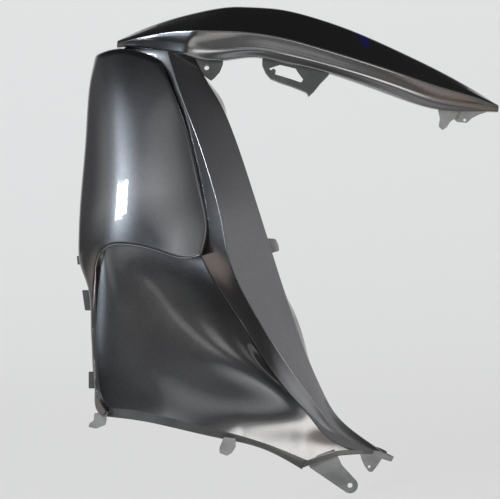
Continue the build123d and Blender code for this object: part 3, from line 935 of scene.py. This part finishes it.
def plastic(name, low, high, roughness):
    """Unpainted moulding with a fine grain and slight soiling, between two greys; darker greys stand for
    painted shade.
    """
    made_of, tree, shader = finish(name, high, 0.0, roughness)
    place = linked(tree, "ShaderNodeTexCoord").outputs["Object"]
    cloud = linked(tree, "ShaderNodeTexNoise", [("Vector", place), ("Scale", 45.0), ("Detail", 5.0)])
    ramp = linked(tree, "ShaderNodeValToRGB", [("Fac", cloud.outputs["Fac"])])
    ramp.color_ramp.elements[0].position, ramp.color_ramp.elements[1].position = 0.3, 0.7
    ramp.color_ramp.elements[0].color = (*low, 1)
    ramp.color_ramp.elements[1].color = (*high, 1)
    tree.links.new(ramp.outputs[0], shader.inputs["Base Color"])
    grain = linked(tree, "ShaderNodeTexNoise", [("Vector", place), ("Scale", 1500.0), ("Detail", 2.0)])
    tree.links.new(bumped(tree, grain.outputs["Fac"], 0.15, 0.0004), shader.inputs["Normal"])
    return made_of


paint = metallic_paint()
bare = plastic("bare_plastic", (0.17, 0.165, 0.155), (0.27, 0.27, 0.26), 0.42)
# Darker copy of the bare plastic for the flange, ear, bracket and front tabs: painted shade where they sit in
# shadow, and dark overspray.
shaded_dark_plastic = plastic("shaded_dark_plastic", (0.035, 0.035, 0.034), (0.062, 0.062, 0.060), 0.38)


def panel_shell():
    """The four hollow fields joined to one shell, without slivers, and shaded smooth."""
    solids = [cheek(), spine(), scoop(), beam()]
    whole = solids[0][0]
    for outer, _ in solids[1:]:
        whole = combined(whole, outer, "UNION")
    for _, inner in solids:
        whole = combined(whole, inner, "DIFFERENCE")
    whole.name = "panel_shell"
    work = bmesh.new()
    work.from_mesh(whole.data)
    bmesh.ops.remove_doubles(work, verts=work.verts, dist=0.02 * MM)
    bmesh.ops.dissolve_degenerate(work, edges=work.edges, dist=0.02 * MM)
    work.to_mesh(whole.data)
    work.free()
    whole.data.shade_smooth()
    whole.data.set_sharp_from_angle(angle=math.radians(32))
    return whole


def flanges():
    """Stepped flange under the scoop's lower edge, and the lipped edge by the tip."""
    both = [
        ledge("lower_flange", SKIN_LOW, FLANGE_LOW, FLANGE_STEP),
        ledge("tip_flange", LIP_LOW, LIP_EDGE, LIP_STEP),
    ]
    for flange in both:
        flange.data.shade_smooth()
        flange.data.set_sharp_from_angle(angle=math.radians(40))
    return both


pieces = [panel_shell(), *flanges(), lower_tab(), tip_tabs(), *lower_hooks(), *front_tabs()]
pieces += [corner_ear(), arm_bracket(), *arm_tip_tabs(), rear_clip()]

for piece in pieces:
    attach(piece, "root")
    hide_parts("panel")


# Stage, light and camera

def pale_sheet():
    """Matt sheet that partly glows where it shows as the background, so that it stays even."""
    sheet, tree, shader = finish("floor", SHEET_GREY, 0.0, 0.8)
    seen = linked(tree, "ShaderNodeLightPath")
    rays = seen.outputs["Is Camera Ray"]
    for kind in ("Is Glossy Ray", "Is Transmission Ray"):
        both = [(0, rays), (1, seen.outputs[kind])]
        rays = linked(tree, "ShaderNodeMath", both, operation="ADD").outputs[0]
    share = linked(
        tree, "ShaderNodeMath", [(0, rays), (1, SHEET_GLOW)], operation="MULTIPLY", use_clamp=True
    ).outputs[0]
    grey = (SHEET_GLOW_GREY, SHEET_GLOW_GREY, SHEET_GLOW_GREY, 1.0)
    glow = linked(tree, "ShaderNodeEmission", [("Color", grey), ("Strength", 1.0)])
    blend = linked(tree, "ShaderNodeMixShader", [(0, share), (1, shader.outputs[0]), (2, glow.outputs[0])])
    tree.links.new(blend.outputs[0], tree.nodes["Material Output"].inputs["Surface"])
    return sheet


def sweep():
    """Floor under the panel that curves up behind it."""
    low = cad_box[0][2] - FLOOR_GAP
    rise = [(y, low) for y in (FLOOR_FRONT, FLOOR_MIDDLE, FLOOR_BEND)]
    for k in range(1, 13):
        turn = math.radians(90 * k / 12)
        rise.append((FLOOR_BEND + FLOOR_ROUND * math.sin(turn), low + FLOOR_ROUND * (1 - math.cos(turn))))
    rise.append((FLOOR_BEND + FLOOR_ROUND, FLOOR_TOP))
    verts = [(x, y, z) for y, z in rise for x in (-FLOOR_HALF_WIDTH, FLOOR_HALF_WIDTH)]
    faces = [(2 * i, 2 * i + 1, 2 * i + 3, 2 * i + 2) for i in range(len(rise) - 1)]
    mesh = bpy.data.meshes.new("floor")
    mesh.from_pydata(verts, [], faces)
    mesh.shade_smooth()
    mesh.materials.append(pale_sheet())
    obj = bpy.data.objects.new("floor", mesh)
    bpy.context.scene.collection.objects.link(obj)
    return obj


def direction(turn, up):
    """Unit vector from degrees to the right of the camera and degrees up."""
    a, b = math.radians(turn), math.radians(up)
    return Vector((math.sin(a) * math.cos(b), -math.cos(a) * math.cos(b), math.sin(b)))


def pane(name, turn, up, far, size, level):
    """Window pane of a given brightness, seen from the panel in a direction."""
    light = bpy.data.lights.new(name, "AREA")
    light.shape, light.size, light.size_y = "RECTANGLE", size[0], size[1]
    light.energy, light.color = level * math.pi * size[0] * size[1], PANE_COLOUR
    lamp = bpy.data.objects.new(name, light)
    way = direction(turn, up)
    lamp.location = Vector(PANE_AIM) + way * far
    lamp.rotation_euler = (-way).to_track_quat("-Z", "Y").to_euler()
    bpy.context.scene.collection.objects.link(lamp)


def by_height(tree, height, levels):
    """Brightness by height, from pairs of degrees and a level."""
    ramp = linked(tree, "ShaderNodeValToRGB", [("Fac", height)])
    stops = ramp.color_ramp.elements
    for k, (angle, level) in enumerate(levels):
        place = 0.5 + 0.5 * math.sin(math.radians(angle))
        stop = stops[k] if k < 2 else stops.new(place)
        stop.position = place
        stop.color = (level / ROOM_PEAK, level / ROOM_PEAK, 1.02 * level / ROOM_PEAK, 1)
    return ramp.outputs[0]


def share_of(tree, value, low, high):
    """Smooth step of a value from 0 at low to 1 at high."""
    step = [("Value", value), ("From Min", low), ("From Max", high)]
    return linked(tree, "ShaderNodeMapRange", step, interpolation_type="SMOOTHSTEP").outputs[0]


def soft_room():
    """World with a soft light by direction: a dark room, lit to the left and right, and its glows."""
    world = bpy.data.worlds.new("world")
    bpy.context.scene.world = world
    world.use_nodes = True
    tree = world.node_tree
    ray = linked(tree, "ShaderNodeTexCoord").outputs["Generated"]
    across, away, up = linked(tree, "ShaderNodeSeparateXYZ", [(0, ray)]).outputs
    height = spanned(tree, up, 0.0, 1.0, -1.0, 1.0)
    left, dark, right = (by_height(tree, height, levels) for levels in (LEFT_ROOM, DARK_ROOM, RIGHT_ROOM))
    aside, ahead = share_of(tree, across, 0.14, -0.16), share_of(tree, away, 0.05, -0.45)
    to_left = linked(tree, "ShaderNodeMath", [(0, aside), (1, ahead)], operation="MULTIPLY").outputs[0]
    light = mixed(tree, to_left, dark, left)
    light = mixed(tree, share_of(tree, across, 0.30, 0.52), light, right)
    for turn, lift, inner, outer, level, colour in GLOWS:
        near = linked(
            tree, "ShaderNodeVectorMath", [(0, ray), (1, direction(turn, lift))], operation="DOT_PRODUCT"
        ).outputs["Value"]
        share = share_of(tree, near, math.cos(math.radians(outer)), math.cos(math.radians(inner)))
        light = mixed(tree, share, light, tuple(c * level / ROOM_PEAK for c in colour) + (1.0,), "ADD")
    tree.links.new(light, tree.nodes["Background"].inputs["Color"])
    tree.nodes["Background"].inputs["Strength"].default_value = ROOM_PEAK


def level_camera():
    """Camera straight in front of the painted side, level."""
    data = bpy.data.cameras.new("camera")
    data.lens, data.sensor_width = 104.0, 36.0
    camera = bpy.data.objects.new("camera", data)
    camera.location = CAMERA_PLACE
    camera.rotation_euler = (math.radians(90), 0, 0)
    bpy.context.scene.collection.objects.link(camera)
    bpy.context.scene.camera = camera


floor = sweep()
for values in PANES:
    pane(*values)
soft_room()
level_camera()
bpy.context.scene.view_settings.view_transform = "Standard"
